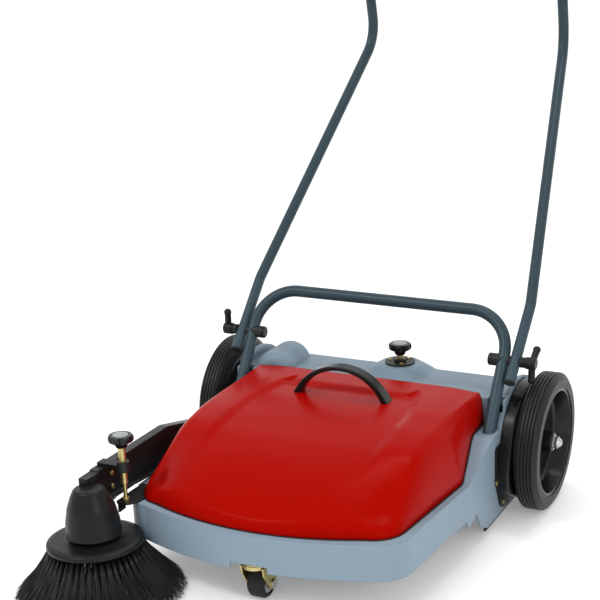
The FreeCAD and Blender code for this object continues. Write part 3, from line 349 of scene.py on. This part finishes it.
def hood_height(x, y):
    """The dome, with its lower centre panel, dropped front corners and a dimple behind each handle end."""
    fine = [profile_height(y + d) for d in np.linspace(-0.022, 0.022, 9)]
    z = sum(fine) / len(fine)
    ax = np.abs(x)
    z = z - 0.004 * smooth_step(ax, 0.15, 0.245) ** 2
    z = z - CORNER_DROP * np.minimum(ax / 0.212, 1.12) ** 5 * smooth_step(-y, 0.39, 0.585)
    edge = 0.149 + 0.017 * smooth_step(-y, 0.16, 0.30)
    panel = 1 - smooth_step(ax, edge - 0.012, edge + 0.012)
    fade = smooth_step(y, -0.53, -0.38) * (1 - smooth_step(y, -0.190, -0.150))
    z = z - PANEL_DEPTH * panel * fade
    beside, behind = np.abs(ax - DIMPLE_X), y - DIMPLE_Y
    reach = np.maximum(beside + behind * 0.45, -behind)
    return z - DIMPLE_DEPTH * (1 - smooth_step(reach, 0.006, 0.013))


def both_sides(half):
    """A half outline and its mirror image, from one end at the deck round the nose to the other."""
    return np.vstack([half[::-1], (half * (-1, 1))[1:]])


def wall_rows(base, brow, foot_z, brow_z):
    """The side walls as Bezier rows: steep at the foot, then rolling over to meet the dome."""
    low, high = base + (brow - base) * 0.24, base + (brow - base) * 0.60
    low_z = foot_z + (brow_z - foot_z) * 0.72
    high_z = np.maximum(hood_height(high[:, 0], high[:, 1]), foot_z)
    rows = []
    for t in np.linspace(0, 1, 16):
        k0, k1, k2, k3 = (1 - t) ** 3, 3 * t * (1 - t) ** 2, 3 * t * t * (1 - t), t ** 3
        plan = base * k0 + low * k1 + high * k2 + brow * k3
        rows.append(np.column_stack([plan, foot_z * k0 + low_z * k1 + high_z * k2 + brow_z * k3]))
    return rows


def dome_rows(brow):
    """The dome as rows that close in from the brow to the centre plane."""
    spine_y = np.where(brow[:, 1] > -0.40, brow[:, 1], -0.40 + (brow[:, 1] + 0.40) * 0.2)
    spine = np.column_stack([np.zeros(len(brow)), spine_y])
    rows = []
    for t in np.linspace(0, 1, 74)[1:]:
        plan = brow + (spine - brow) * t
        rows.append(np.column_stack([plan, hood_height(plan[:, 0], plan[:, 1])]))
    return rows


def make_hood():
    """The glossy hood: side walls that roll over a soft shoulder into the dome, as one thick skin."""
    base = both_sides(rounded_plan(half_outline(FOOT_PLAN), 6))
    brow = both_sides(rounded_plan(half_outline(BROW_PLAN), 6))
    foot_z = rim_height(base[:, 1])
    brow_z = hood_height(brow[:, 0], brow[:, 1])
    rows = wall_rows(base, brow, foot_z, brow_z) + dome_rows(brow)
    n = len(base)
    verts = np.vstack(rows)
    faces = [(i * n + k, (i + 1) * n + k, (i + 1) * n + k + 1, i * n + k + 1)
             for i in range(len(rows) - 1) for k in range(n - 1)]
    verts = verts + np.array(DATUM)
    obj = mesh_object("hood_shell", verts, faces, materials["hood_red"], "hood_lid")
    join_twins(obj)
    thicken(obj, SKIN)
    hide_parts("hood")
    return base, foot_z


def join_twins(obj, distance=0.00005):
    """Welds vertices that lie on top of one another and turns all faces outward."""
    bm = bmesh.new()
    bm.from_mesh(obj.data)
    bmesh.ops.remove_doubles(bm, verts=bm.verts, dist=distance)
    bmesh.ops.recalc_face_normals(bm, faces=bm.faces)
    up = sum(f.normal.z * f.calc_area() for f in bm.faces)
    if up < 0:
        bmesh.ops.reverse_faces(bm, faces=bm.faces)
    bm.to_mesh(obj.data)
    bm.free()


def thicken(obj, amount):
    """Gives a skin its wall thickness, inwards."""
    solid = obj.modifiers.new("Wall", "SOLIDIFY")
    solid.thickness = amount
    solid.offset = -1


def make_hood_gasket(base, foot_z):
    """A rubber bead between the hood's rim and the chassis."""
    sides, r = 8, 0.0017
    path = np.column_stack([base, foot_z - 0.0011])
    ahead = np.gradient(path, axis=0)
    ahead /= np.linalg.norm(ahead, axis=1)[:, None]
    out = np.column_stack([ahead[:, 1], -ahead[:, 0], np.zeros(len(ahead))])
    out /= np.linalg.norm(out, axis=1)[:, None]
    verts = []
    for p, o, a in zip(path, out, ahead):
        up = np.cross(a, o)
        for k in range(sides):
            angle = math.tau * k / sides
            spoke = o * math.cos(angle) + up * math.sin(angle)
            verts.append(p - o * 0.0008 + spoke * r + np.array(DATUM))
    faces = tube_faces(len(path), sides)
    gasket = mesh_object("hood_gasket", verts, faces, materials["rubber"], "chassis")
    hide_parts("hood_seal")


# ---------------------------------------------------------------- bristles
def strand(points, radii, sides=3):
    """Vertices of one tapered bristle along its points."""
    verts = []
    for i, p in enumerate(points):
        a = points[min(i + 1, len(points) - 1)] - points[max(i - 1, 0)]
        a = a / np.linalg.norm(a)
        u = np.cross(a, (0.31, 0.17, 0.93))
        u /= np.linalg.norm(u)
        w = np.cross(a, u)
        for k in range(sides):
            t = math.tau * k / sides
            verts.append(p + (u * math.cos(t) + w * math.sin(t)) * radii[i])
    return verts


def strand_faces(count, sides=3):
    """Side quads and a closing cap at both ends."""
    faces = tube_faces(count, sides)
    return faces + [tuple(reversed(range(sides))), tuple(range((count - 1) * sides, count * sides))]


def bristle_mesh(name, strands, body, slot):
    """All bristles of one brush as one mesh. Every strand has the same count of points."""
    verts, faces = [], []
    count = len(strands[0][0])
    pattern = strand_faces(count)
    for points, radii in strands:
        base = len(verts)
        verts += strand(points, radii)
        faces += [tuple(base + i for i in f) for f in pattern]
    return mesh_object(name, verts, faces, materials[slot], body)


def make_side_bristles():
    """Rings of tufts under the side brush plate, splayed and slightly bowed like a used brush."""
    rng = random.Random(7)
    joint = joint_named("side_brush_spin")
    axis = Vector(joint["axis"]).normalized()
    hub = Vector(joint["pos_m"])
    lean = Vector((0, 0, 1)).rotation_difference(axis).to_matrix()
    low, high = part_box("side_brush_bristles")
    reach = min(high.x - low.x, high.y - low.y) / 2
    top, drop = -0.0078, 0.0985
    strands = []
    for ring, (root_r, tip_r, tufts) in enumerate([(0.082, reach, 50), (0.073, reach * 0.93, 44),
                                                   (0.060, reach * 0.84, 36), (0.045, reach * 0.72, 28)]):
        for k in range(tufts):
            turn = math.tau * (k + 0.5 * (ring % 2)) / tufts
            for _ in range(26):
                a0 = turn + rng.gauss(0, 0.012)
                a1 = turn + rng.gauss(0, 0.062)
                r0 = root_r + rng.gauss(0, 0.0016)
                r1 = min(tip_r * (1 + rng.gauss(-0.02, 0.028)), reach * 1.02)
                length = drop * (1 + rng.gauss(-0.02, 0.02)) - max(0.0, (reach - r1) * 0.02)
                points = []
                for t in (0.0, 0.3, 0.65, 1.0):
                    a = a0 + (a1 - a0) * t
                    r = r0 + (r1 - r0) * (0.78 * t + 0.22 * t * t)
                    local = Vector((r * math.cos(a), r * math.sin(a), top - min(length, drop) * t))
                    world = hub + lean @ local
                    points.append(np.array((world.x, world.y, max(world.z, 0.0012))))
                strands.append((points, (0.00075, 0.0007, 0.0006, 0.00042)))
    piece = bristle_mesh("side_bristles", strands, "side_brush", "brush_fibre")
    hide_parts("side_brush_bristles")


ROOT_RADIUS = 0.031                          # where the tufts leave the main roller's core


def make_main_tufts():
    """Spiral rows of tufts round the main roller."""
    rng = random.Random(11)
    joint = joint_named("main_brush_spin")
    y0, z0 = joint["pos_m"][1], joint["pos_m"][2]
    low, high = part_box("main_brush_tufts")
    reach = (high.z - low.z) / 2
    rows, along = 8, 52
    strands = []
    for row in range(rows):
        for i in range(along):
            share = (i + 0.5) / along
            x = low.x + (high.x - low.x) * share
            turn = math.tau * (row / rows + 0.35 * abs(share - 0.5))
            for _ in range(9):
                a0, a1 = turn + rng.gauss(0, 0.03), turn + rng.gauss(0, 0.055)
                dx = rng.gauss(0, 0.0026)
                r1 = reach * (1 - abs(rng.gauss(0, 0.012)))
                points = []
                for t in (0.0, 0.55, 1.0):
                    r, a = ROOT_RADIUS + (r1 - ROOT_RADIUS) * t, a0 + (a1 - a0) * t
                    points.append(np.array((x + dx * t, y0 + r * math.cos(a), z0 + r * math.sin(a))))
                strands.append((points, (0.0008, 0.0008, 0.0006)))
    piece = bristle_mesh("main_brush_bristles", strands, "main_brush", "brush_fibre")
    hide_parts("main_brush_tufts")


# ---------------------------------------------------------------- small trim
def make_knob_cap(name, knob, body):
    """A grey insert, slightly domed and with a shallow ring, pressed into the top of a hand knob."""
    low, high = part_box(knob)
    x, y, z = (low.x + high.x) / 2, (low.y + high.y) / 2, high.z
    profile = [(0.0, 0.0016), (0.006, 0.0015), (0.0115, 0.0011), (0.0122, 0.0006),
               (0.0128, 0.0011), (0.0142, 0.0008), (0.0148, 0.0), (0.0148, -0.0008)]
    sides = 48
    verts = [(x + r * math.cos(a), y + r * math.sin(a), z + h) for r, h in profile[1:]
             for a in (math.tau * k / sides for k in range(sides))]
    faces = tube_faces(len(profile) - 1, sides)
    verts.append((x, y, z + profile[0][1]))
    faces += [(len(verts) - 1, k, (k + 1) % sides) for k in range(sides)]
    faces.append(tuple(range((len(profile) - 2) * sides, (len(profile) - 1) * sides)))
    join_twins(mesh_object(name, verts, faces, materials["knob_cap_grey"], body))


# ---------------------------------------------------------------- stage
def make_stage():
    """A pale floor that curves up into a plain backdrop."""
    size, back, rise, steps = 14.0, 6.0, 1.6, 14
    angles = [i * math.pi / 2 / steps for i in range(steps + 1)]
    sweep = [(back + rise * math.sin(a), rise - rise * math.cos(a)) for a in angles]
    profile = [(-size, 0.0)] + sweep + [(back + rise, 9.0)]
    verts = [(x, y, z) for x in (-size, size) for y, z in profile]
    n = len(profile)
    faces = [(i, i + 1, n + i + 1, n + i) for i in range(n - 1)]
    mesh = bpy.data.meshes.new("Backdrop")
    mesh.from_pydata(verts, [], faces)
    floor = bpy.data.objects.new("Backdrop", mesh)
    bpy.context.scene.collection.objects.link(floor)
    mat, tree, shader = new_material("Studio white")
    white = tone(tree, noise(tree, 0.8), (0.86, 0.86, 0.86), (0.90, 0.90, 0.90))
    tree.links.new(white, shader.inputs["Base Color"])
    shader.inputs["Roughness"].default_value = 0.7
    shader.inputs["Emission Color"].default_value = (1, 1, 1, 1)
    shader.inputs["Emission Strength"].default_value = 0.22
    mesh.materials.append(mat)
    for p in mesh.polygons:
        p.use_smooth = True


def area_light(name, place, target, size, power):
    """A rectangular soft light that shines from a place to a target, both seen from the datum."""
    light = bpy.data.lights.new(name, "AREA")
    light.shape, light.size, light.size_y = "RECTANGLE", size[0], size[1]
    light.energy = power
    obj = bpy.data.objects.new(name, light)
    obj.location = Vector(place) + DATUM
    obj.rotation_euler = (Vector(target) - Vector(place)).to_track_quat("-Z", "Y").to_euler()
    bpy.context.scene.collection.objects.link(obj)


def make_light():
    """Even white surroundings with a key, a fill and a top light."""
    bpy.context.scene.view_settings.view_transform = "Standard"
    world = bpy.data.worlds.new("Studio")
    world.use_nodes = True
    world.node_tree.nodes["Background"].inputs["Color"].default_value = (1, 1, 1, 1)
    world.node_tree.nodes["Background"].inputs["Strength"].default_value = 0.85
    bpy.context.scene.world = world
    area_light("Key", (-1.6, -2.4, 3.4), (0, -0.2, 0.2), (1.1, 0.8), 48)
    area_light("Fill", (3.0, -2.2, 1.8), (0, -0.2, 0.3), (1.2, 1.2), 22)
    area_light("Top", (0.2, 0.6, 3.6), (0, -0.2, 0.2), (1.6, 0.6), 26)


def make_camera():
    """Three-quarter front view from the machine's left-hand side, slightly above the hood."""
    place = Vector((1.1651, -2.7048, 1.2680))
    right = Vector((0.90586, 0.42268, -0.02762)).normalized()
    ahead = Vector((-0.39838, 0.82798, -0.39464)).normalized()
    up = right.cross(ahead).normalized()
    cam = bpy.data.cameras.new("Camera")
    cam.lens, cam.sensor_width = 88.93, 36.0
    cam.shift_x, cam.shift_y = -0.0473, 0.2989
    obj = bpy.data.objects.new("Camera", cam)
    turn = Matrix((right, up, -ahead)).transposed().to_4x4()
    obj.matrix_world = Matrix.Translation(place + DATUM) @ turn
    bpy.context.scene.collection.objects.link(obj)
    bpy.context.scene.camera = obj


materials = {**make_plastics(), **make_rubbers(), **make_metals()}
dress_nodes(materials)
make_hood_gasket(*make_hood())
make_side_bristles()
make_main_tufts()
make_knob_cap("rear_knob_cap", "adjuster_knob", "rear_knob")
make_knob_cap("side_knob_cap", "side_knob", "side_height_knob")
make_stage()
make_light()
make_camera()
